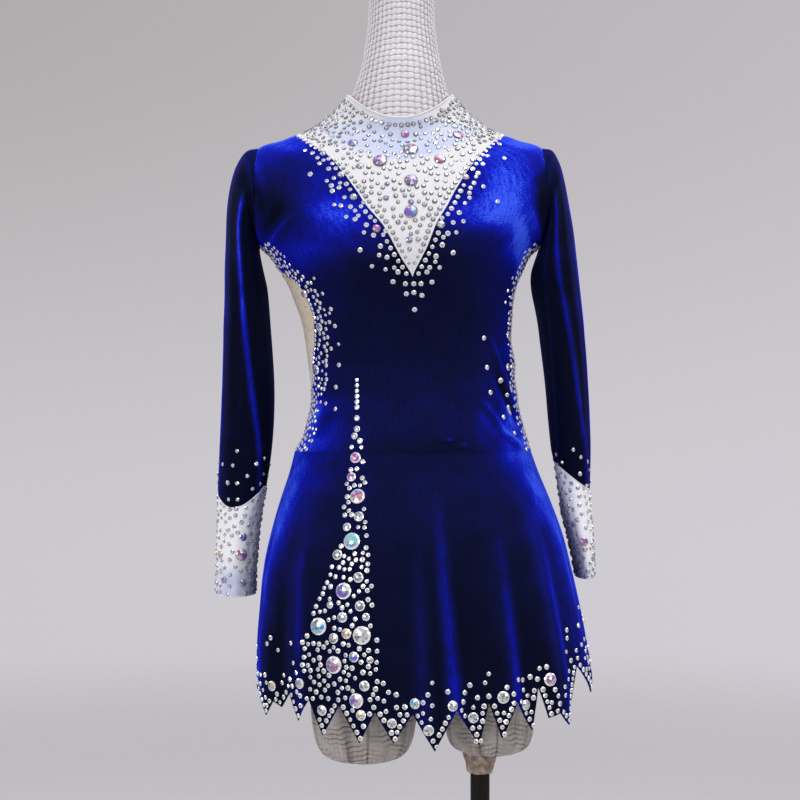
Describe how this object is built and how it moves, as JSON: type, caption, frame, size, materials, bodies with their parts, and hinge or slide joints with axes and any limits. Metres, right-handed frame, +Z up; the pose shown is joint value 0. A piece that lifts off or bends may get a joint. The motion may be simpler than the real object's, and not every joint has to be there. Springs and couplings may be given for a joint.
{
  "type": "ice skating dress on a limbless dress form with a stand",
  "caption": "Long-sleeved velvet skating dress with mesh yoke, cuffs and waist inserts and a spiked hem, worn by a limbless dress form on a post with a round base.",
  "frame": {"origin": "middle of the base plate's underside, on the floor", "axes": "+Z up; the dress faces -Y; the wearer's right side is at -X and the left side at +X"},
  "size_m": [0.476, 0.38, 1.545],
  "materials": {
    "velvet": "royal blue stretch velvet, dark face on and bright at grazing angles",
    "fine_mesh": "ivory fine net",
    "knitted_net": "white openwork knit over a smooth form",
    "socket_wrap": "tan",
    "painted_steel": "dark brown, satin",
    "set_stones": "faceted clear glass with an iridescent coat"
  },
  "bodies": {
    "root": {"front_velvet": "velvet", "back_velvet": "velvet", "front_yoke": "fine_mesh", "back_yoke_left": "fine_mesh", "back_yoke_right": "fine_mesh", "collar": "fine_mesh", "side_insert_right": "fine_mesh", "side_insert_left": "fine_mesh", "sleeve_right": "velvet", "sleeve_left": "velvet", "cuff_right": "fine_mesh", "cuff_left": "fine_mesh", "skirt_front": "velvet", "skirt_back": "velvet", "dress_form": "knitted_net", "post_socket": "socket_wrap", "stand_post": "painted_steel", "base_plate": "painted_steel"}
  },
  "joints": []
}
